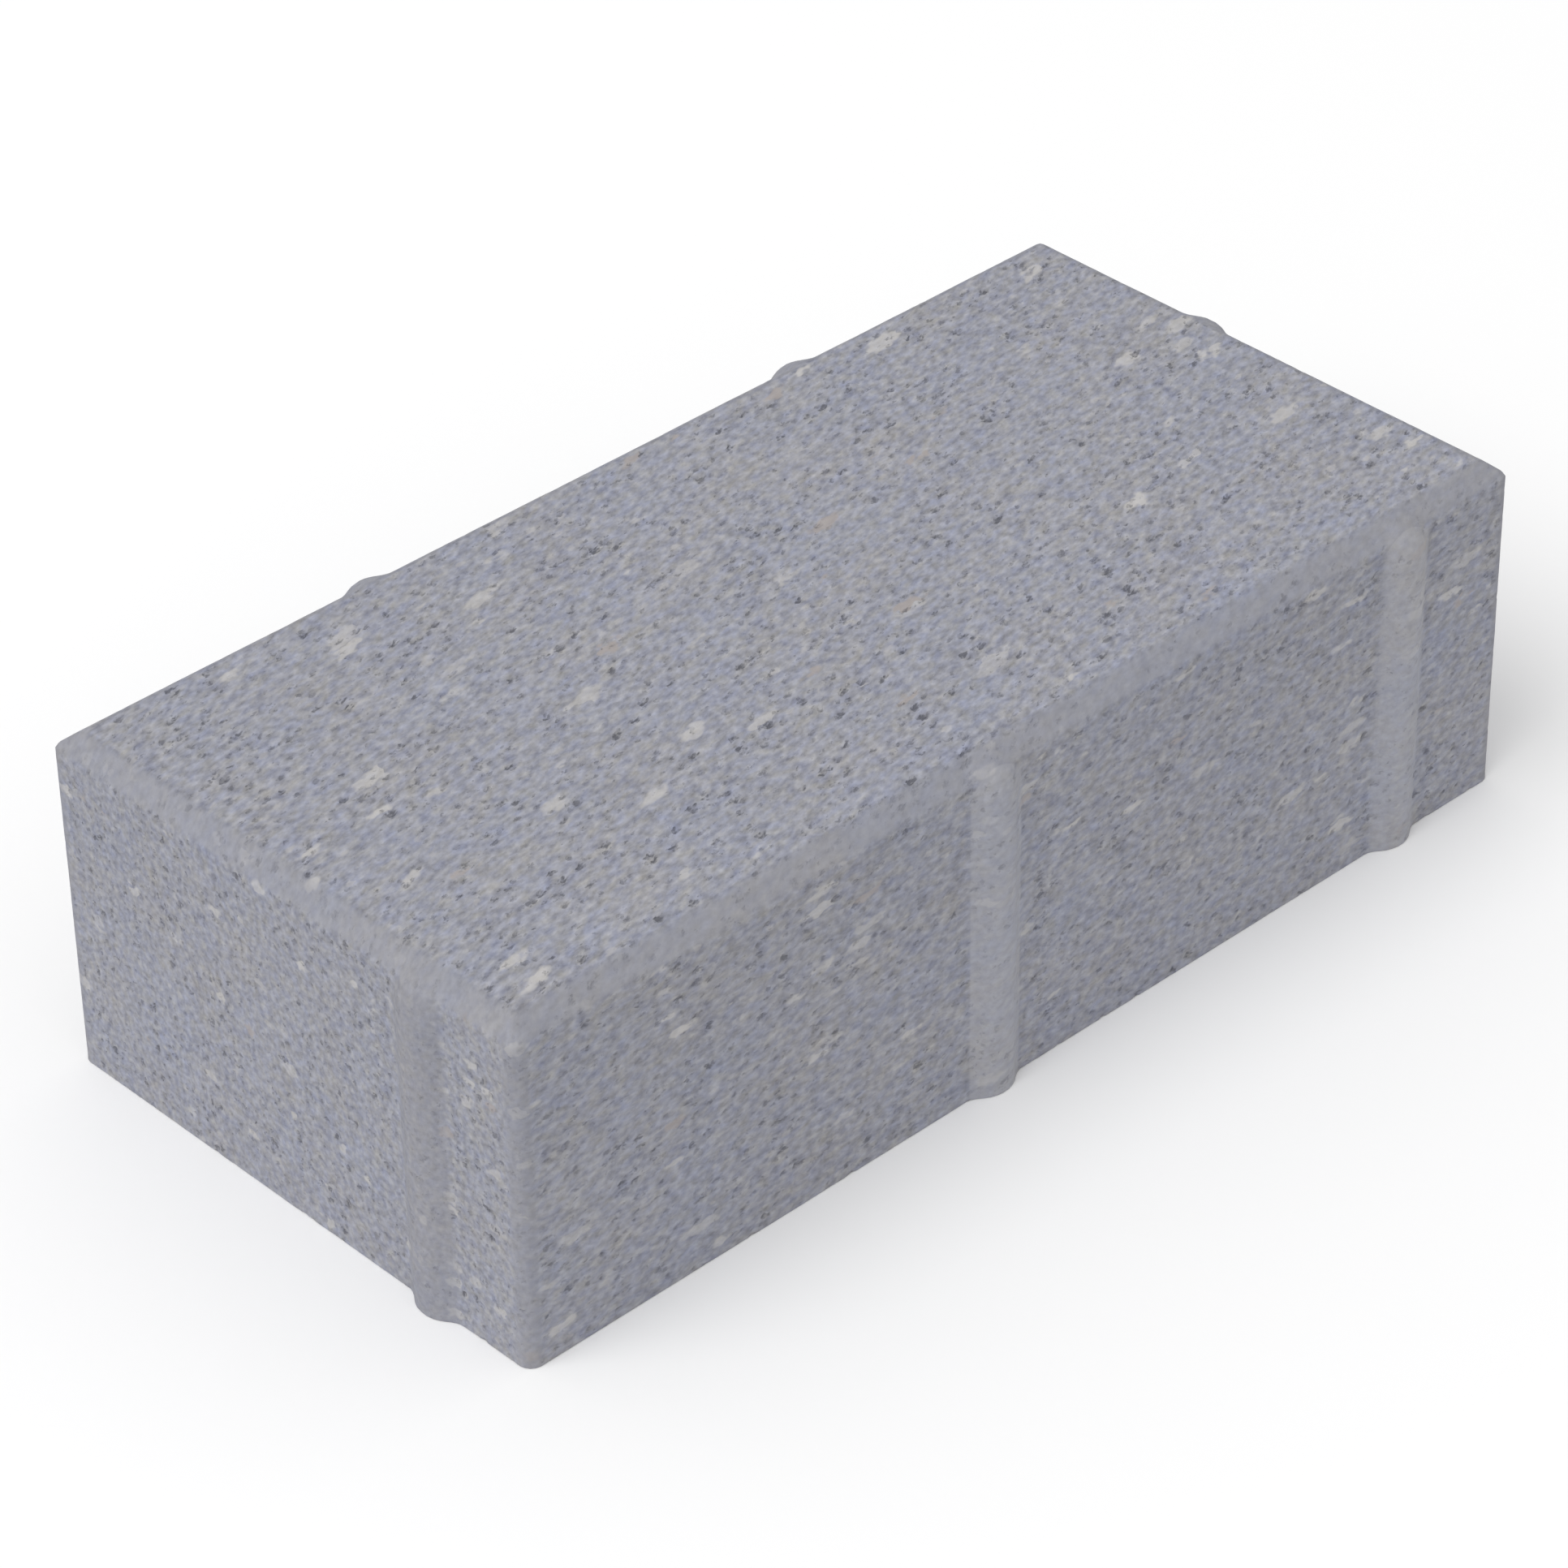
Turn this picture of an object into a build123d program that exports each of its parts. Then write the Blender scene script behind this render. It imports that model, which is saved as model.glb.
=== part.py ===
from build123d import *
from math import acos, cos, sin
import os

# Pressed concrete paving stone, one solid piece.
# X runs along the stone, Y across it, Z up. The origin is the centre of the bedding face,
# which lies flat at Z = 0, and the wearing face looks up.

# Driving dimensions, in millimetres
grid_length = 200.0          # laying grid: one stone and one joint
grid_width = 100.0
joint = 2.2                  # the gap that the spacer nibs keep, and how far a nib stands out
thickness = 57.5             # bedding face to wearing face
corner_radius = 2.4          # upright corners of the block
bevel_width = 3.4            # bevel round the wearing face, measured level
bevel_depth = 3.0            # the same bevel, measured down

# Spacer nibs: upright ribs on the four sides with domed tops, pressed in one with the block
nib_crest_radius = 5.4       # round crest of the rib, and the ball of its dome
nib_root_radius = 2.1        # hollow between the rib and its wall
nib_top_drop = 0.5           # from the wearing face down to the top of a dome
nib_embed = 1.0              # how far a nib's own solid starts inside the block
nib_pitch = 85.3             # along the stone, between the two nibs of a long side
front_nib_inset = 23.6       # right-hand end of the block to the nearer front nib
back_nib_inset = 57.1        # left-hand end of the block to the nearer back nib
left_nib_inset = 19.4        # front side of the block to the left nib
right_nib_inset = 36.9       # back side of the block to the right nib

# The block is smaller than its place in the grid by one joint
length = grid_length - joint
width = grid_width - joint

# The crest's axis lies inside the block, and the dome's ball is centred on it
crest_axis_y = joint - nib_crest_radius
dome_centre_z = thickness - nib_top_drop - nib_crest_radius


def nib_outline():
    """Plan of one nib: a round crest that runs into the wall through two hollow fillets."""
    radii = nib_crest_radius + nib_root_radius
    turn = acos((radii - joint) / radii)
    half_root = radii * sin(turn)
    flank = (nib_crest_radius * sin(turn), joint - nib_crest_radius * (1 - cos(turn)))
    hollow = (
        half_root - nib_root_radius * sin(turn / 2),
        nib_root_radius * (1 - cos(turn / 2)),
    )

    def left(point):
        return (-point[0], point[1])

    edges = [
        Line((-half_root, -nib_embed), (-half_root, 0)),
        ThreePointArc((-half_root, 0), left(hollow), left(flank)),
        ThreePointArc(left(flank), (0, joint), flank),
        ThreePointArc(flank, hollow, (half_root, 0)),
        Line((half_root, 0), (half_root, -nib_embed)),
        Line((half_root, -nib_embed), (-half_root, -nib_embed)),
    ]
    return make_face(edges)


def nib():
    """One nib on a wall that faces +Y: the filleted rib, and the ball that rounds off its top."""
    rib = extrude(nib_outline(), dome_centre_z)
    ball = Sphere(nib_crest_radius, arc_size1=0, arc_size2=90)
    return rib + Pos(0, crest_axis_y, dome_centre_z) * ball


def nib_places():
    """Where each nib's root lies, turned so that its crest points away from its wall."""
    front = [Pos(length / 2 - front_nib_inset - step, -width / 2) for step in (0, nib_pitch)]
    back = [Pos(back_nib_inset - length / 2 + step, width / 2) for step in (0, nib_pitch)]
    left = Pos(-length / 2, left_nib_inset - width / 2)
    right = Pos(length / 2, width / 2 - right_nib_inset)
    return [
        *[place * Rot(Z=180) for place in front],
        *back,
        left * Rot(Z=90),
        right * Rot(Z=-90),
    ]


def hood_section(z):
    """Level cut through the four bevel planes at height z, past the stone or through its edges."""
    inset = bevel_width + (z - thickness) * bevel_width / bevel_depth
    return Pos(0, 0, z) * Rectangle(length - 2 * inset, width - 2 * inset)


def bevelled_block():
    """The block, with its top edges cut by four sloping planes, as the press head leaves them."""
    block = extrude(RectangleRounded(length, width, corner_radius), thickness)
    hood = loft([hood_section(-bevel_depth), hood_section(thickness + bevel_depth)])
    return block & hood


def paving_stone():
    nibs = [place * nib() for place in nib_places()]
    return bevelled_block().fuse(*nibs)


os.makedirs("parts", exist_ok=True)
stone = paving_stone()
stone.label = "paving_stone"
export_step(stone, "parts/paving_stone.step")
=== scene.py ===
import math

import bpy
import numpy as np
from mathutils import Matrix, Vector


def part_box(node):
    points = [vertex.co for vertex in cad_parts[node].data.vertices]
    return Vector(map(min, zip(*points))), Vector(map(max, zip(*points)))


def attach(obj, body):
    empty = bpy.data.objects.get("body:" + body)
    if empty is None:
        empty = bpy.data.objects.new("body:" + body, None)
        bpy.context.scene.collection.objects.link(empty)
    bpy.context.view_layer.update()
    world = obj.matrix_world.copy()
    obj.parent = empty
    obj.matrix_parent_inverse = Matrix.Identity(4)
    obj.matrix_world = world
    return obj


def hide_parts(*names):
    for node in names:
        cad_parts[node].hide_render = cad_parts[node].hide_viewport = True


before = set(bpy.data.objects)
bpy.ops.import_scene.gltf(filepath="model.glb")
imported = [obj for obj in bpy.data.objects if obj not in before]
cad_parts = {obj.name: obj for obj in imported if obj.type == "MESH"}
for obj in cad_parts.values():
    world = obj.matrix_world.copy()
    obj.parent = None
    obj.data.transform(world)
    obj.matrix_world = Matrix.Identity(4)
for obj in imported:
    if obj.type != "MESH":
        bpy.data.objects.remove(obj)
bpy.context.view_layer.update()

MM = 0.001

# ---------------------------------------------------------------------------
# The pressed form, in millimetres
# ---------------------------------------------------------------------------
# The block is the frame's box without the nibs. The other sizes are the press mould's own.

NIB_STANDS_OUT = 2.2
BEVEL_WIDTH = 3.4
BEVEL_DEPTH = 3.0
CORNER_RADIUS = 2.4
ARRIS_RADIUS = 0.5           # of the bevel's two edges: sand and cement hold no sharper one
NIB_CREST_RADIUS = 5.4
NIB_ROOT_BLEND = 1.0         # spreads as wide as the mould's 2.1 mm root radius
NIB_TOP_DROP = 0.5           # from the wearing face to the top of the nibs' domes
NIB_PITCH = 85.3             # between the two nibs of a long side
FRONT_NIB_INSET = 23.6       # from the right end
BACK_NIB_INSET = 57.1        # from the left end
LEFT_NIB_INSET = 19.4        # from the front
RIGHT_NIB_INSET = 36.9       # from the back

box_low, box_high = (np.array(corner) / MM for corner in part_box("paving_stone"))
HALF_LENGTH = (box_high[0] - box_low[0]) / 2 - NIB_STANDS_OUT
HALF_WIDTH = (box_high[1] - box_low[1]) / 2 - NIB_STANDS_OUT
THICKNESS = box_high[2] - box_low[2]
WALL_HEIGHT = THICKNESS - BEVEL_DEPTH
DOME_CENTRE_Z = THICKNESS - NIB_TOP_DROP - NIB_CREST_RADIUS
CREST_AXIS_DEPTH = NIB_CREST_RADIUS - NIB_STANDS_OUT


def nib_axes():
    """Where each nib's upright axis stands, inside its wall."""
    deep_x = HALF_LENGTH - CREST_AXIS_DEPTH
    deep_y = HALF_WIDTH - CREST_AXIS_DEPTH
    front = [(HALF_LENGTH - FRONT_NIB_INSET - step, -deep_y) for step in (0, NIB_PITCH)]
    back = [(BACK_NIB_INSET - HALF_LENGTH + step, deep_y) for step in (0, NIB_PITCH)]
    left = (-deep_x, LEFT_NIB_INSET - HALF_WIDTH)
    right = (deep_x, HALF_WIDTH - RIGHT_NIB_INSET)
    return [*front, *back, left, right]


def rounded_inside(first, second, radius):
    """Distance to what two forms share, with the edge between them rounded."""
    over = np.maximum(np.stack([first, second]) + radius, 0)
    return np.minimum(np.maximum(first, second), -radius) + np.hypot(*over)


def filleted_with(first, second, radius):
    """Distance to two forms joined, with a hollow fillet between them."""
    under = np.maximum(radius - np.stack([first, second]), 0)
    return np.maximum(np.minimum(first, second), radius) - np.hypot(*under)


def block_distance(place):
    """Distance from the block without its nibs and its wearing face; below zero is inside."""
    x, y, z = np.abs(place[:, 0]), np.abs(place[:, 1]), place[:, 2]
    past = np.stack([x - HALF_LENGTH, y - HALF_WIDTH]) + CORNER_RADIUS
    wall = np.hypot(*np.maximum(past, 0)) + np.minimum(past.max(0), 0) - CORNER_RADIUS
    slant = math.hypot(BEVEL_WIDTH, BEVEL_DEPTH)
    rise = (z - WALL_HEIGHT) * BEVEL_WIDTH
    end_bevel = ((x - HALF_LENGTH) * BEVEL_DEPTH + rise) / slant
    side_bevel = ((y - HALF_WIDTH) * BEVEL_DEPTH + rise) / slant
    bevel = rounded_inside(end_bevel, side_bevel, ARRIS_RADIUS)
    return rounded_inside(wall, bevel, ARRIS_RADIUS)


def nib_distance(place):
    """Distance from the nearest nib: an upright rod that ends in a dome."""
    above = np.maximum(place[:, 2] - DOME_CENTRE_Z, 0)
    from_axes = [np.hypot(place[:, 0] - x, place[:, 1] - y) for x, y in nib_axes()]
    return np.hypot(np.min(from_axes, axis=0), above) - NIB_CREST_RADIUS


def stone_distance(place):
    """Distance from the whole stone, cut off flat at its wearing face."""
    ribbed = filleted_with(block_distance(place), nib_distance(place), NIB_ROOT_BLEND)
    return rounded_inside(ribbed, place[:, 2] - THICKNESS, ARRIS_RADIUS)


def pulled_to_form(place):
    """The same points, moved square to the pressed form until they lie on it.

    The slope is measured over a hundredth of a millimetre; four rounds bring them there."""
    step = 0.01
    for _ in range(4):
        slope = np.stack(
            [(stone_distance(place + shift) - stone_distance(place - shift)) / (2 * step)
             for shift in np.eye(3) * step],
            axis=1,
        )
        distance = stone_distance(place)
        place = place - slope * (distance / (slope ** 2).sum(1))[:, None]
    return place


# ---------------------------------------------------------------------------
# The stone's mesh: a net over the wearing face, rows down the sides, a coarser net underneath
# ---------------------------------------------------------------------------

NET_STEP = 0.76              # about the width of one sand grain
BEVEL_ROWS = 6
BEDDING_STEP = 2             # steps of the wearing face's net to one of the bedding face's
BEDDING_MARGIN = 1.5         # from the foot of the wall to that net


def along_outline(share, half, other_half):
    """A point on one side of the block's outline, which ends half-way round its corners.

    share runs from -1 to 1. The side lies at -other_half; the result is (along, across)."""
    straight = half - CORNER_RADIUS
    path = share * (straight + CORNER_RADIUS * math.pi / 4)
    turn = np.maximum(np.abs(path) - straight, 0) / CORNER_RADIUS
    along = np.clip(path, -straight, straight) + np.sign(path) * CORNER_RADIUS * np.sin(turn)
    across = -(other_half - CORNER_RADIUS) - CORNER_RADIUS * np.cos(turn)
    return along, across


def ring(columns, rows, side):
    """One closed ring, anticlockwise from the left end of the front.

    side(share, long_side) gives a side's points as (along, across) from -1 up to, not with, 1."""
    corners = []
    for index in range(4):
        long_side = index % 2 == 0
        count = columns if long_side else rows
        share = np.arange(count) / count * 2 - 1
        along, across = side(share, long_side)
        turn = index * math.pi / 2
        corners.append(np.stack([
            along * math.cos(turn) - across * math.sin(turn),
            along * math.sin(turn) + across * math.cos(turn),
        ], axis=1))
    return np.concatenate(corners)


def block_side(share, long_side):
    """A side of the ring round the block, corners and all."""
    halves = (HALF_LENGTH, HALF_WIDTH) if long_side else (HALF_WIDTH, HALF_LENGTH)
    return along_outline(share, *halves)


def flat_side(inset):
    """A side of a ring that is a plain rectangle, inset from the block's outline."""
    def side(share, long_side):
        halves = (HALF_LENGTH, HALF_WIDTH) if long_side else (HALF_WIDTH, HALF_LENGTH)
        along = share * (halves[0] - inset)
        return along, np.full_like(share, inset - halves[1])
    return side


def net(columns, rows, inset, height, first):
    """A flat rectangular net of points, and the numbers of its points by column and row."""
    x = np.linspace(-1, 1, columns + 1) * (HALF_LENGTH - inset)
    y = np.linspace(-1, 1, rows + 1) * (HALF_WIDTH - inset)
    grid = np.stack(np.meshgrid(x, y, indexing="ij"), axis=-1).reshape(-1, 2)
    points = np.column_stack([grid, np.full(len(grid), height)])
    numbers = first + np.arange(len(grid)).reshape(columns + 1, rows + 1)
    return points, numbers


def rim(numbers):
    """A net's edge points, anticlockwise from the left end of the front, as a ring has them."""
    return np.concatenate([numbers[:-1, 0], numbers[-1, :-1], numbers[:0:-1, -1], numbers[0, :0:-1]])


def net_faces(numbers):
    return np.stack([numbers[:-1, :-1], numbers[1:, :-1], numbers[1:, 1:], numbers[:-1, 1:]], axis=-1)


def stone_net():
    """Points and faces of the closed mesh, before the points are pulled to the pressed form.

    Returns them with the wearing face's, the sides' and the bedding face's faces apart."""
    columns = 2 * round((HALF_LENGTH - BEVEL_WIDTH) / NET_STEP)
    rows = 2 * round((HALF_WIDTH - BEVEL_WIDTH) / NET_STEP)
    around = 2 * (columns + rows)
    wall_rows = round(WALL_HEIGHT / NET_STEP)

    top, top_numbers = net(columns, rows, BEVEL_WIDTH, THICKNESS, 0)
    inner = ring(columns, rows, flat_side(BEVEL_WIDTH))
    outer = ring(columns, rows, block_side)
    levels = []
    for row in range(1, BEVEL_ROWS + 1):
        part = row / BEVEL_ROWS
        plan = inner + (outer - inner) * part
        levels.append(np.column_stack([plan, np.full(around, THICKNESS - BEVEL_DEPTH * part)]))
    for row in range(1, wall_rows + 1):
        levels.append(np.column_stack([outer, np.full(around, WALL_HEIGHT * (1 - row / wall_rows))]))

    ring_numbers = [rim(top_numbers)]
    first = len(top)
    for _ in levels:
        ring_numbers.append(first + np.arange(around))
        first += around
    under, under_numbers = net(
        columns // BEDDING_STEP, rows // BEDDING_STEP, BEDDING_MARGIN, 0.0, first)

    sides = []
    for upper, lower in zip(ring_numbers[:-1], ring_numbers[1:]):
        sides.append(np.stack([lower, np.roll(lower, -1), np.roll(upper, -1), upper], axis=1))
    # Between the foot of the wall and the bedding net, one five-sided face spans two steps of the foot
    foot = ring_numbers[-1].reshape(-1, BEDDING_STEP)
    hem = rim(under_numbers)
    bedding = [
        [int(n) for n in (a, inside, inside_next, b_next, b)]
        for (a, b), b_next, inside, inside_next
        in zip(foot, np.roll(foot[:, 0], -1), hem, np.roll(hem, -1))
    ]
    bedding += [face[::-1] for face in net_faces(under_numbers).reshape(-1, 4).tolist()]
    points = np.concatenate([top, *levels, under])
    return {
        "points": points,
        "wearing": net_faces(top_numbers).reshape(-1, 4).tolist(),
        "sides": np.concatenate(sides).tolist(),
        "bedding": bedding,
        "bedding_from": first,
        "around": around,
        "columns": columns,
        "rows": rows,
        "levels": len(levels),
    }


def soft_step(value, low, high):
    """0 up to low and 1 from high on, with an S-shaped rise between them."""
    part = np.clip((value - low) / (high - low), 0, 1)
    return part * part * (3 - 2 * part)


# How open the sandy texture is, from 0, trowel smooth, to 1 on the wearing face
OPEN_WALL = 0.84
OPEN_BEVEL = 0.45
OPEN_NIB = 0.48
OPEN_CORNER = 0.45
OPEN_BEDDING = 0.8

# Where one finish gives way to the next, in millimetres past the form's turn, or before it if below 0
CORNER_FADE = (-0.9, 0.5)
BEVEL_FADE = (-0.1, 0.4)
NIB_FADE = (0.005, 0.12)
WEARING_FADE = (-0.4, 0.9)


def openness(form):
    """The head polishes the bevel, and the mould's walls the nibs and corners; the rest is open."""
    x, y, z = np.abs(form[:, 0]), np.abs(form[:, 1]), form[:, 2]
    inset = np.minimum(HALF_LENGTH - x, HALF_WIDTH - y)
    past_corner = np.minimum(x - HALF_LENGTH, y - HALF_WIDTH) + CORNER_RADIUS
    value = OPEN_WALL + (OPEN_CORNER - OPEN_WALL) * soft_step(past_corner, *CORNER_FADE)
    value = value + (OPEN_BEVEL - value) * soft_step(z - WALL_HEIGHT, *BEVEL_FADE)
    value = value + (OPEN_NIB - value) * soft_step(-inset, *NIB_FADE)
    return value + (1 - value) * soft_step(inset - BEVEL_WIDTH, *WEARING_FADE)


# ---------------------------------------------------------------------------
# Nodes
# ---------------------------------------------------------------------------

MATH = "ShaderNodeMath"
VECTOR_MATH = "ShaderNodeVectorMath"
MIX = "ShaderNodeMix"


def linear(code):
    """An sRGB hex colour as linear red, green, blue and full cover."""
    parts = [int(code[i:i + 2], 16) / 255 for i in (1, 3, 5)]
    return (*[p / 12.92 if p <= 0.04045 else ((p + 0.055) / 1.055) ** 2.4 for p in parts], 1.0)


def lay(tree, kind, *inputs, named=None, **settings):
    """Adds one node with its settings and its links.

    inputs go to the sockets in use, in their order, and named to the sockets it names. Each is a
    value, a hex colour, an output, or a node, which stands for its first output in use."""
    node = tree.nodes.new(kind)
    for name, value in settings.items():
        setattr(node, name, value)
    in_use = [socket for socket in node.inputs if socket.enabled]
    pairs = list(zip(in_use, inputs))
    pairs += [(node.inputs[name], value) for name, value in (named or {}).items()]
    for socket, value in pairs:
        if isinstance(value, bpy.types.Node):
            value = next(output for output in value.outputs if output.enabled)
        if isinstance(value, bpy.types.NodeSocket):
            tree.links.new(value, socket)
        elif socket.type == "RGBA":
            socket.default_value = linear(value)
        else:
            socket.default_value = value
    return node


# ---------------------------------------------------------------------------
# The concrete's ingredients, as fields in millimetres. The mesh and the material share them
# ---------------------------------------------------------------------------

DRAWER_DRAG = 1.9            # how much longer than wide the mix's flakes lie
DRAG_LINE = Vector((1.0, 0.33, 0.05)).normalized()     # the way the filling drawer runs


def swell(tree, place, wavelength, detail=0.0, roughness=0.5, shift=(0, 0, 0)):
    """Soft unevenness of the given wavelength, about 0.5 in the mean.

    shift moves it, so that two of them don't rise and fall together."""
    moved = lay(tree, VECTOR_MATH, place, shift, operation="ADD")
    return lay(
        tree, "ShaderNodeTexNoise", moved,
        named={"Scale": 1 / wavelength, "Detail": detail, "Roughness": roughness},
        noise_dimensions="3D",
    )


def spread(tree, field, times):
    """A field that lies about 0.5, drawn further to both sides of it."""
    aside = lay(tree, MATH, field, 0.5, operation="SUBTRACT")
    return lay(tree, MATH, aside, times, 0.5, operation="MULTIPLY_ADD", use_clamp=True)


def strewn(tree, place, spacing, radius, share, ragged, soft, stretch=(1, 1, 1), shift=(0, 0, 0)):
    """Grains, pebbles or pores strewn through the mix, cut by the surface where they meet it.

    spacing is the room for each, share how many of these places hold one, ragged how far the
    outline strays, soft the width of its edge. Gives (how far inside, a number of its own)."""
    wobble = lay(
        tree, "ShaderNodeTexNoise", place,
        named={"Scale": 0.9 / radius, "Detail": 1.0, "Roughness": 0.5},
        noise_dimensions="3D",
    )
    stray = lay(tree, VECTOR_MATH, wobble.outputs["Color"], (0.5, 0.5, 0.5), operation="SUBTRACT")
    strayed = lay(tree, VECTOR_MATH, stray, (ragged, ragged, ragged), place, operation="MULTIPLY_ADD")
    squeeze = tuple(1 / times for times in stretch)
    squeezed = lay(tree, VECTOR_MATH, strayed, squeeze, shift, operation="MULTIPLY_ADD")
    cells = lay(
        tree, "ShaderNodeTexVoronoi", squeezed,
        named={"Scale": 1 / spacing, "Randomness": 1.0},
        voronoi_dimensions="3D", feature="F1", distance="EUCLIDEAN",
    )
    bulk, chance, own = lay(tree, "ShaderNodeSeparateXYZ", cells.outputs["Color"]).outputs
    size = lay(tree, MATH, bulk, radius * 0.9, radius * 0.5, operation="MULTIPLY_ADD")
    there = lay(tree, MATH, chance, share, operation="LESS_THAN")
    reach = lay(tree, MATH, size, there, operation="MULTIPLY")
    away = lay(tree, MATH, cells, spacing, operation="MULTIPLY")
    inside = lay(tree, MATH, reach, away, operation="SUBTRACT")
    depth = lay(tree, MATH, inside, soft, operation="DIVIDE", use_clamp=True)
    return depth, own


def combed(tree, place):
    """Places drawn together along one line: the filling drawer's stroke lays and tilts every
    flake and air pocket of the mix longer that way than across."""
    run = lay(tree, VECTOR_MATH, place, DRAG_LINE, operation="DOT_PRODUCT")
    back = lay(tree, MATH, run, 1 / DRAWER_DRAG - 1, operation="MULTIPLY")
    step = lay(tree, VECTOR_MATH, DRAG_LINE, back, operation="SCALE")
    return lay(tree, VECTOR_MATH, place, step, operation="ADD")


def pores(tree, place):
    """Air pockets between the grains of the face mix, 1 to 2 mm long, in loose clusters."""
    crowd = swell(tree, place, wavelength=6.0, detail=1.0)
    closeness = lay(tree, MATH, crowd, 4.0, -0.95, operation="MULTIPLY_ADD", use_clamp=True)
    large, _ = strewn(tree, place, spacing=1.9, radius=0.48, share=0.6, ragged=1.5, soft=0.4)
    small, _ = strewn(
        tree, place, spacing=1.05, radius=0.34, share=0.65, ragged=0.9, soft=0.3, shift=(8.0, 2.0, 6.0))
    small = lay(tree, MATH, small, 0.7, operation="MULTIPLY")
    depth = lay(tree, MATH, large, small, operation="MAXIMUM")
    return lay(tree, MATH, depth, closeness, operation="MULTIPLY")


def pebbles(tree, place):
    """Pale flint and limestone chips, 2 to 6 mm long, few and far between, lying flat."""
    return strewn(
        tree, place, spacing=4.1, radius=1.15, share=0.44, ragged=2.0, soft=0.4,
        stretch=(1.55, 1.1, 0.75), shift=(3.7, 1.9, 9.6))


# ---------------------------------------------------------------------------
# Relief in the mesh
# ---------------------------------------------------------------------------

SAND_DEPTH = 0.16            # crest to trough of the sandy face
PORE_DEPTH = 0.42            # of the deepest pore
WAVE_DEPTH = 0.16            # how uneven the face is over a few centimetres


def relief_nodes():
    """Sinks the pressed form's surface by sand, pores and unevenness, all of it inwards."""
    tree = bpy.data.node_groups.new("sunk_relief", "GeometryNodeTree")
    tree.interface.new_socket("Stone", in_out="INPUT", socket_type="NodeSocketGeometry")
    tree.interface.new_socket("Stone", in_out="OUTPUT", socket_type="NodeSocketGeometry")
    pressed = lay(tree, "NodeGroupInput")
    form = lay(tree, "GeometryNodeInputNamedAttribute", "form", data_type="FLOAT_VECTOR")
    open_face = lay(tree, "GeometryNodeInputNamedAttribute", "openness", data_type="FLOAT")
    place = combed(tree, form)

    grains = swell(tree, place, wavelength=2.6, detail=2.0, roughness=0.62, shift=(31.0, 7.0, 5.0))
    between = lay(tree, MATH, 1.0, grains, operation="SUBTRACT", use_clamp=True)
    sand = lay(tree, MATH, between, SAND_DEPTH, operation="MULTIPLY")
    hollow = lay(tree, MATH, pores(tree, place), PORE_DEPTH, operation="MULTIPLY")
    texture = lay(tree, MATH, sand, hollow, operation="ADD")
    texture = lay(tree, MATH, texture, open_face, operation="MULTIPLY")
    wave = swell(tree, place, wavelength=16.0, detail=1.0, shift=(5.0, 61.0, 2.0))
    wave = lay(tree, MATH, wave, WAVE_DEPTH, operation="MULTIPLY")
    sunk = lay(tree, MATH, texture, wave, operation="ADD")

    inwards = lay(tree, MATH, sunk, -MM, operation="MULTIPLY")
    normal = lay(tree, "GeometryNodeInputNormal")
    offset = lay(tree, VECTOR_MATH, normal, inwards, operation="SCALE")
    worked = lay(tree, "GeometryNodeSetPosition", pressed, named={"Offset": offset})
    lay(tree, "NodeGroupOutput", worked)
    return tree


ISLAND_GAP = 3.0             # between the flat islands of the texture map


def side_strips(made, corners):
    """The texture map of the four sides, unrolled bevel and all, one strip beside another.

    corners holds where each strip starts. The long sides' strips stand upright."""
    slant = math.hypot(BEVEL_WIDTH, BEVEL_DEPTH)
    columns, rows, levels = made["columns"], made["rows"], made["levels"]
    face = np.arange(len(made["sides"]))[:, None]
    right, down = np.array([0, 1, 1, 0]), np.array([1, 1, 0, 0])
    step = face % made["around"]
    starts = np.array([0, columns, columns + rows, 2 * columns + rows])
    side = np.searchsorted(starts, step, side="right") - 1
    long_side = side % 2 == 0
    count = np.where(long_side, columns, rows)
    run = np.where(long_side, 2 * HALF_LENGTH, 2 * HALF_WIDTH)
    along = (step - starts[side] + right) / count * run
    level = face // made["around"] + down
    bevel_left = 1 - np.minimum(level, BEVEL_ROWS) / BEVEL_ROWS
    wall_left = 1 - np.maximum(level - BEVEL_ROWS, 0) / (levels - BEVEL_ROWS)
    up = bevel_left * slant + wall_left * WALL_HEIGHT
    turned = [np.where(long_side, up, along), np.where(long_side, along, up)]
    return (np.stack(turned, axis=-1) + corners[side]).reshape(-1, 2)


def unwrapped(stone, made):
    """A texture map of six flat islands at one scale: both big faces, and a strip for each side."""
    length, width, gap = 2 * HALF_LENGTH, 2 * HALF_WIDTH, ISLAND_GAP
    strip = WALL_HEIGHT + math.hypot(BEVEL_WIDTH, BEVEL_DEPTH)
    strip_corners = np.array([
        (length + 2 * gap, gap),
        (gap, 2 * width + 3 * gap),
        (length + strip + 3 * gap, gap),
        (width + 2 * gap, 2 * width + 3 * gap),
    ])
    mesh = stone.data
    loops = np.empty(len(mesh.loops), np.int64)
    mesh.loops.foreach_get("vertex_index", loops)
    plan = made["points"][loops, :2] + (HALF_LENGTH, HALF_WIDTH)
    wearing = plan[:4 * len(made["wearing"])] + gap
    bedding = plan[4 * len(made["wearing"] + made["sides"]):] + (gap, width + 2 * gap)
    islands = np.concatenate([wearing, side_strips(made, strip_corners), bedding])
    whole = length + 2 * strip + 4 * gap
    layer = mesh.uv_layers.new(name="OFBake")
    layer.data.foreach_set("uv", (islands / whole).astype(np.float32).ravel())


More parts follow.
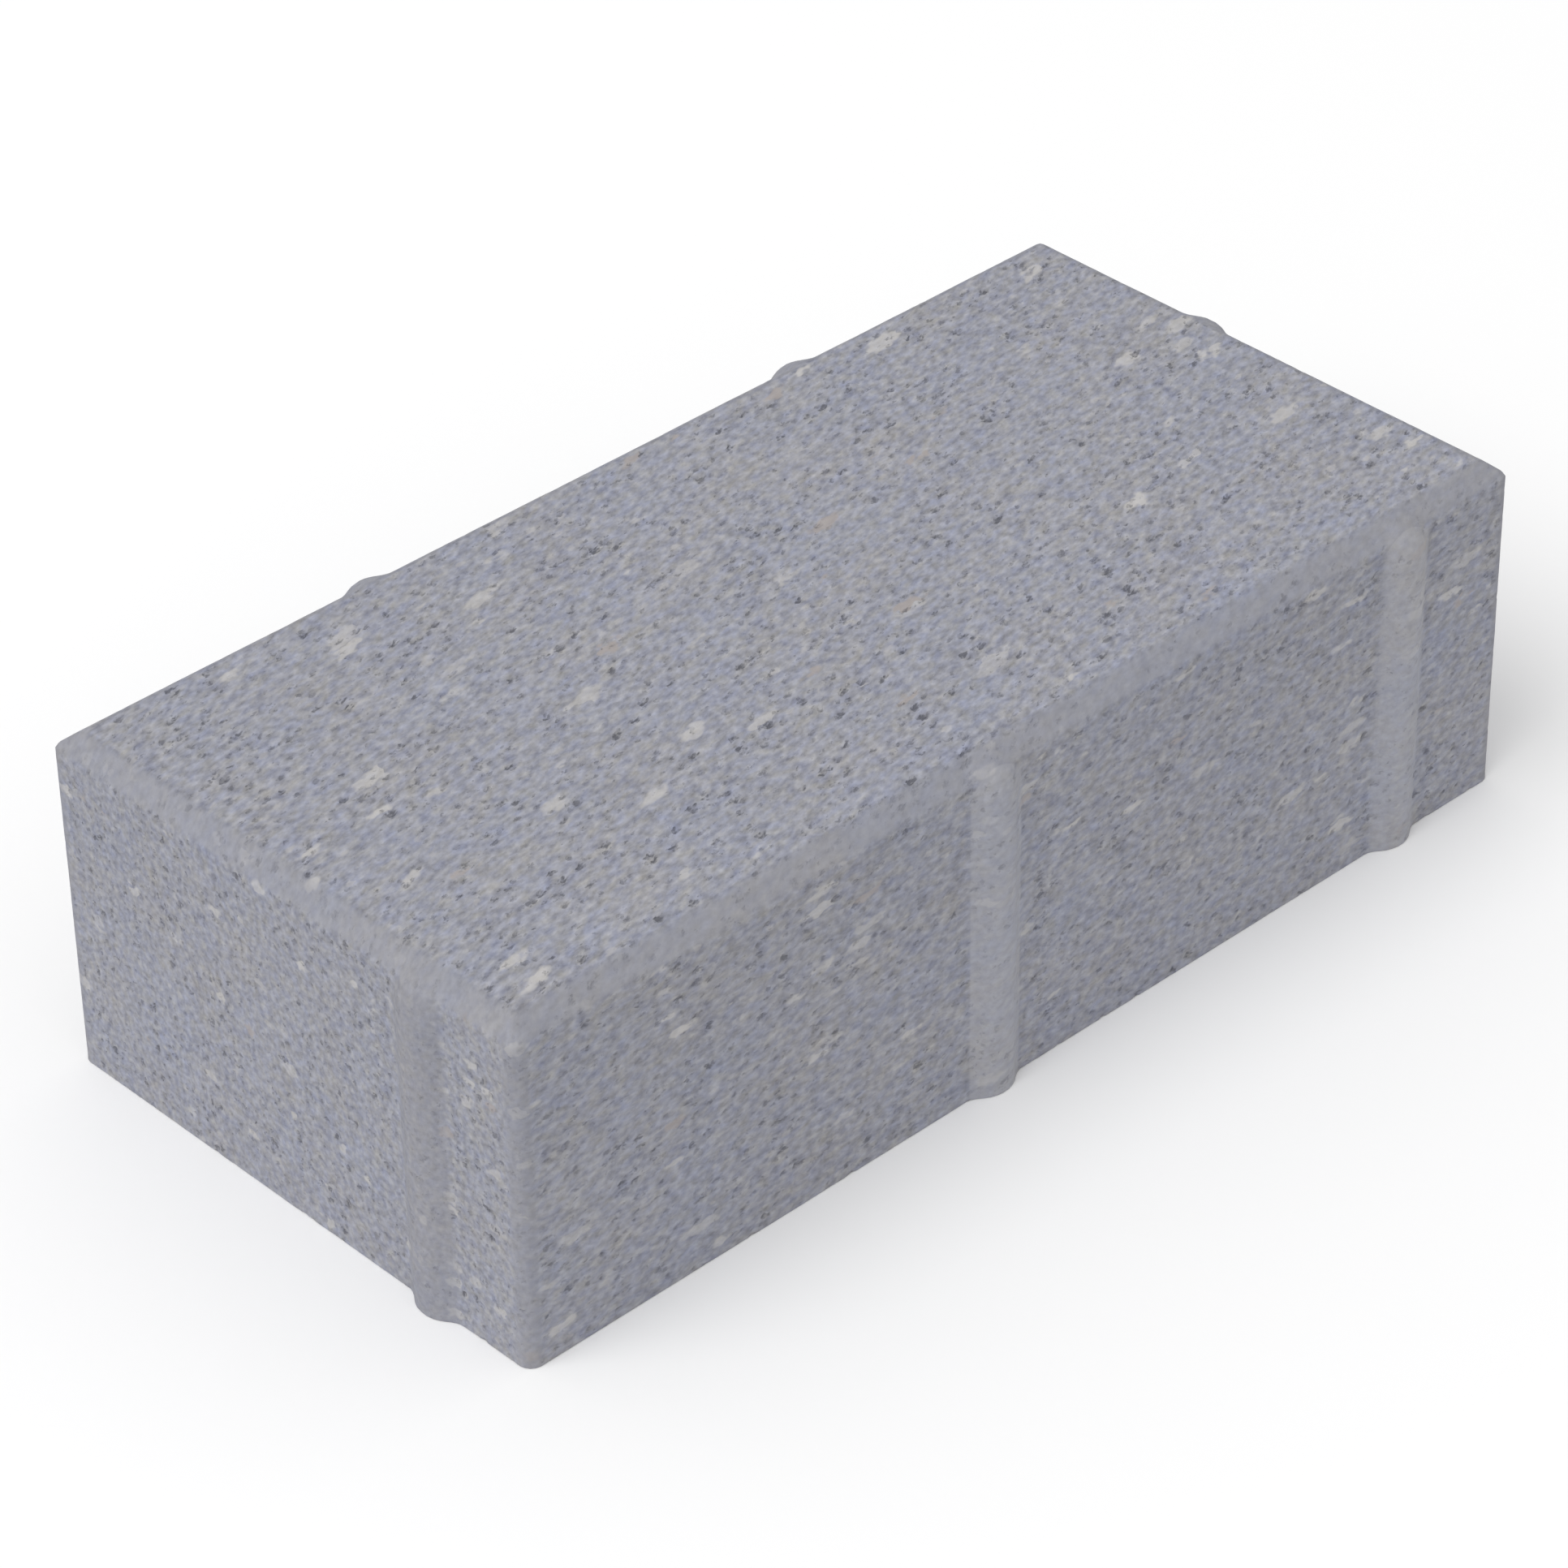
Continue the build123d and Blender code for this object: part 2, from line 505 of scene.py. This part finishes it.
def pressed_stone():
    """The paving stone as one closed mesh, with its relief worked into the surface."""
    made = stone_net()
    bedding_from = made["bedding_from"]
    pulled, flat = np.split(made["points"], [bedding_from])
    form = np.concatenate([pulled_to_form(pulled), flat])
    made["points"] = form
    open_face = openness(form)
    open_face[bedding_from:] = OPEN_BEDDING

    mesh = bpy.data.meshes.new("paving_stone_pressed")
    mesh.from_pydata((form * MM).tolist(), [], made["wearing"] + made["sides"] + made["bedding"])
    mesh.attributes.new("form", "FLOAT_VECTOR", "POINT").data.foreach_set("vector", form.ravel())
    mesh.attributes.new("openness", "FLOAT", "POINT").data.foreach_set("value", open_face)
    mesh.polygons.foreach_set("use_smooth", [True] * len(mesh.polygons))
    stone = bpy.data.objects.new("pressed_paving_stone", mesh)
    bpy.context.scene.collection.objects.link(stone)
    unwrapped(stone, made)

    foot = range(bedding_from - made["around"], bedding_from)
    sharp = [edge.vertices[0] in foot and edge.vertices[1] in foot for edge in mesh.edges]
    mesh.attributes.new("sharp_edge", "BOOLEAN", "EDGE").data.foreach_set("value", sharp)

    relief = stone.modifiers.new("sunk_relief", "NODES")
    relief.node_group = relief_nodes()
    evaluated = stone.evaluated_get(bpy.context.evaluated_depsgraph_get())
    worked = bpy.data.meshes.new_from_object(evaluated)
    stone.modifiers.clear()
    stone.data = worked
    return stone


# ---------------------------------------------------------------------------
# Materials
# ---------------------------------------------------------------------------


def sandy_paste(tree, place, open_face):
    """Sand of about 1 mm: bluish paste and warmer grains, each in darker and lighter shades.

    Gives the colour, and how light each spot is."""
    contrast = lay(tree, MATH, open_face, 1.3, 0.45, operation="MULTIPLY_ADD")
    sand = swell(tree, place, wavelength=0.95, detail=2.0, roughness=0.55, shift=(11.0, 3.0, 17.0))
    sand = spread(tree, sand, contrast)
    warmth = swell(tree, place, wavelength=1.3, detail=1.0, shift=(2.0, 23.0, 9.0))
    warmth = spread(tree, warmth, contrast)
    darker = lay(tree, MIX, warmth, "#757787", "#848383", data_type="RGBA")
    lighter = lay(tree, MIX, warmth, "#A6AABC", "#B5B4B5", data_type="RGBA")
    return lay(tree, MIX, sand, darker, lighter, data_type="RGBA"), sand


def steel_skin_and_painted_light(tree, colour, form, open_face):
    """The steel rubs a smoother, greyer skin of cement over the bevel, the corners and the nibs, paler
    on the bevel. Painted shade makes it dull on the end nibs and the corners, and painted light makes
    it palest on the long sides' nibs.

    Painted shade makes the sides and bevel a little darker towards the wearing face."""
    # Both colours, the bevel's and the long nibs' painted light, are whole a fraction of a millimetre
    # past the wall: at the sides, and up the bevel
    _, across, up = lay(tree, "ShaderNodeSeparateXYZ", form).outputs
    from_middle = lay(tree, MATH, across, operation="ABSOLUTE")
    past_side = lay(tree, MATH, from_middle, HALF_WIDTH, operation="SUBTRACT")
    painted_light_on_long_nibs = lay(tree, MATH, past_side, 10.0, operation="MULTIPLY", use_clamp=True)
    past_wall = lay(tree, MATH, up, WALL_HEIGHT, operation="SUBTRACT")
    bevel = lay(tree, MATH, past_wall, 3.0, operation="MULTIPLY", use_clamp=True)
    skin = lay(tree, MATH, open_face, -1.45, 1.0, operation="MULTIPLY_ADD", use_clamp=True)
    # 8B8B91 is painted shade: the end nibs and the corners are coloured darker than the bevel
    skin_with_painted_light = lay(tree, MIX, bevel, "#8B8B91", "#9E9EA4", data_type="RGBA")
    # B7B7BB is painted light: the long sides' nibs are coloured palest
    skin_with_painted_light = lay(tree, MIX, painted_light_on_long_nibs, skin_with_painted_light, "#B7B7BB", data_type="RGBA")
    skinned_with_painted_light = lay(tree, MIX, skin, colour, skin_with_painted_light, data_type="RGBA")

    # beside is 0 on the wearing face and 1 everywhere else
    beside = lay(tree, MATH, open_face, -6.5, 6.5, operation="MULTIPLY_ADD", use_clamp=True)
    share = lay(tree, MATH, up, 1 / THICKNESS, operation="MULTIPLY")
    # painted shade: the sides and bevel are coloured darker the higher they stand
    painted_shade_towards_top = lay(tree, MATH, beside, share, operation="MULTIPLY")
    return lay(tree, MIX, painted_shade_towards_top, skinned_with_painted_light, "#F5F5F5", data_type="RGBA", blend_type="MULTIPLY")


def clouded(tree, colour, place):
    """Cloudy patches, where the paste dried warmer or bluer."""
    cloud = swell(tree, place, wavelength=9.0, detail=2.0, shift=(2.0, 8.0, 40.0))
    cloud = spread(tree, cloud, 2.0)
    tint = lay(tree, MIX, cloud, "#EDF2FF", "#FFFAF0", data_type="RGBA")
    return lay(tree, MIX, 0.4, colour, tint, data_type="RGBA", blend_type="MULTIPLY")


def with_grains(tree, colour, place, open_face):
    """Single grains of 1 mm and more, darker and lighter than the rest."""
    grain, own = strewn(
        tree, place, spacing=1.9, radius=0.5, share=0.5, ragged=0.8, soft=0.3, shift=(9.0, 4.0, 1.0))
    bare = lay(tree, MATH, grain, open_face, operation="MULTIPLY")
    bare = lay(tree, MATH, bare, 0.4, operation="MULTIPLY")
    grain_colour = lay(tree, MIX, own, "#85858C", "#C4C1BE", data_type="RGBA")
    return lay(tree, MIX, bare, colour, grain_colour, data_type="RGBA")


def with_chips(tree, colour, place, open_face):
    """Pale chips, a few of them brownish, and less bare where the steel has rubbed cement over them."""
    chip, own = pebbles(tree, place)
    uncovered = lay(tree, MATH, open_face, 0.9, -0.1, operation="MULTIPLY_ADD", use_clamp=True)
    bare = lay(tree, MATH, chip, uncovered, operation="MULTIPLY")
    brightness = lay(tree, MATH, own, 0.6, 0.35, operation="MULTIPLY_ADD")
    bare = lay(tree, MATH, bare, brightness, operation="MULTIPLY")
    brown = lay(tree, MATH, own, 0.85, operation="GREATER_THAN")
    chip_colour = lay(tree, MIX, brown, "#C6C3BF", "#A39B97", data_type="RGBA")
    return lay(tree, MIX, bare, colour, chip_colour, data_type="RGBA")


def blank_material(name):
    material = bpy.data.materials.new(name)
    material.use_nodes = True
    material.node_tree.nodes.clear()
    return material


def pressed_concrete():
    """Dry-cast concrete, pressed in a steel mould: sand and cement paste with air pores.

    The eye sees a dull blue-grey paste between warmer grey grains, dark pores and pale chips,
    quieter where the mould's steel has rubbed the paste over the bevel and the nibs."""
    material = blank_material("dry_cast_pressed_concrete")
    tree = material.node_tree
    form = lay(tree, "ShaderNodeAttribute", attribute_name="form").outputs["Vector"]
    open_face = lay(tree, "ShaderNodeAttribute", attribute_name="openness").outputs["Fac"]
    place = combed(tree, form)

    colour, sand = sandy_paste(tree, place, open_face)
    # Steel skin, with painted light and shade on the nibs, the corners and the sides
    colour = steel_skin_and_painted_light(tree, colour, form, open_face)
    colour = clouded(tree, colour, place)
    colour = with_grains(tree, colour, place, open_face)
    colour = with_chips(tree, colour, place, open_face)

    # Little light gets out of a pore
    pore = lay(tree, MATH, pores(tree, place), open_face, operation="MULTIPLY")
    pore = lay(tree, MATH, pore, 0.8, operation="MULTIPLY")
    colour = lay(tree, MIX, pore, colour, "#54555D", data_type="RGBA")

    # Fine relief, in millimetres, under the mesh's own
    height = lay(tree, MATH, sand, 0.09, operation="MULTIPLY")
    height = lay(tree, MATH, pore, -0.25, height, operation="MULTIPLY_ADD")
    bump = lay(tree, "ShaderNodeBump", named={"Strength": 1.0, "Distance": MM, "Height": height})

    # Concrete is dull, and a little less so where the steel rubbed it
    roughness = lay(tree, MATH, open_face, 0.12, 0.8, operation="MULTIPLY_ADD")
    shader = lay(tree, "ShaderNodeBsdfPrincipled", named={
        "Base Color": colour,
        "Roughness": roughness,
        "IOR": 1.5,
        "Specular IOR Level": 0.3,
        "Normal": bump,
    })
    lay(tree, "ShaderNodeOutputMaterial", shader)
    return material


def studio_paper():
    """A roll of pale matt paper for the floor."""
    material = blank_material("pale_matt_paper")
    tree = material.node_tree
    shader = lay(tree, "ShaderNodeBsdfPrincipled", named={
        "Base Color": "#FBFBFB",
        "Roughness": 0.95,
        "Specular IOR Level": 0.0,
    })
    lay(tree, "ShaderNodeOutputMaterial", shader)
    return material


# ---------------------------------------------------------------------------
# Stage: floor, light and camera
# ---------------------------------------------------------------------------

# Metres and watts
FLOOR_REACH = 30.0
SOFT_BOX_WIDTH = 3.6
SOFT_BOX_PLACE = Vector((-2.58, 0.0, 3.69))
SOFT_BOX_POWER = 93.0
ROOM_BRIGHTNESS = 0.735


def paper_floor():
    mesh = bpy.data.meshes.new("paper_floor")
    corners = [(x * FLOOR_REACH, y * FLOOR_REACH, 0) for x, y in ((-1, -1), (1, -1), (1, 1), (-1, 1))]
    mesh.from_pydata(corners, [], [(0, 1, 2, 3)])
    floor = bpy.data.objects.new("paper_floor", mesh)
    bpy.context.scene.collection.objects.link(floor)
    mesh.materials.append(studio_paper())


def soft_lights():
    """An even white room, and one large soft box at the left."""
    world = bpy.data.worlds.new("white_room")
    world.use_nodes = True
    room = world.node_tree.nodes["Background"]
    room.inputs["Color"].default_value = linear("#FFFFFF")
    room.inputs["Strength"].default_value = ROOM_BRIGHTNESS
    bpy.context.scene.world = world

    lamp = bpy.data.lights.new("soft_box", "AREA")
    lamp.shape = "DISK"
    lamp.size = SOFT_BOX_WIDTH
    lamp.energy = SOFT_BOX_POWER
    holder = bpy.data.objects.new("soft_box", lamp)
    bpy.context.scene.collection.objects.link(holder)
    holder.location = SOFT_BOX_PLACE
    holder.rotation_euler = (-SOFT_BOX_PLACE).to_track_quat("-Z", "Y").to_euler()


# The view, worked out for a stone of this size: degrees, and millimetres
CAMERA_AZIMUTH = -43.14
CAMERA_ELEVATION = 35.27
CAMERA_ROLL = -0.99
CAMERA_DISTANCE = 854.2
CAMERA_SIDESTEP = -3.56
CAMERA_RISE = 19.08
LENS_LENGTH = 131.5
SENSOR_WIDTH = 36.0


def camera():
    azimuth, elevation, roll = map(math.radians, (CAMERA_AZIMUTH, CAMERA_ELEVATION, CAMERA_ROLL))
    back = Vector((
        math.sin(azimuth) * math.cos(elevation),
        -math.cos(azimuth) * math.cos(elevation),
        math.sin(elevation),
    ))
    level = Vector((math.cos(azimuth), math.sin(azimuth), 0))
    upright = back.cross(level)
    right = level * math.cos(roll) + upright * math.sin(roll)
    up = upright * math.cos(roll) - level * math.sin(roll)
    place = (back * CAMERA_DISTANCE + right * CAMERA_SIDESTEP + up * CAMERA_RISE) * MM
    data = bpy.data.cameras.new("camera")
    data.sensor_width = SENSOR_WIDTH
    data.lens = LENS_LENGTH
    eye = bpy.data.objects.new("camera", data)
    eye.matrix_world = Matrix.Translation(place) @ Matrix((right, up, back)).transposed().to_4x4()
    bpy.context.scene.collection.objects.link(eye)
    bpy.context.scene.camera = eye


stone = pressed_stone()
stone.data.materials.append(pressed_concrete())
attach(stone, "root")
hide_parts("paving_stone")

paper_floor()
soft_lights()
camera()
bpy.context.scene.view_settings.view_transform = "Standard"
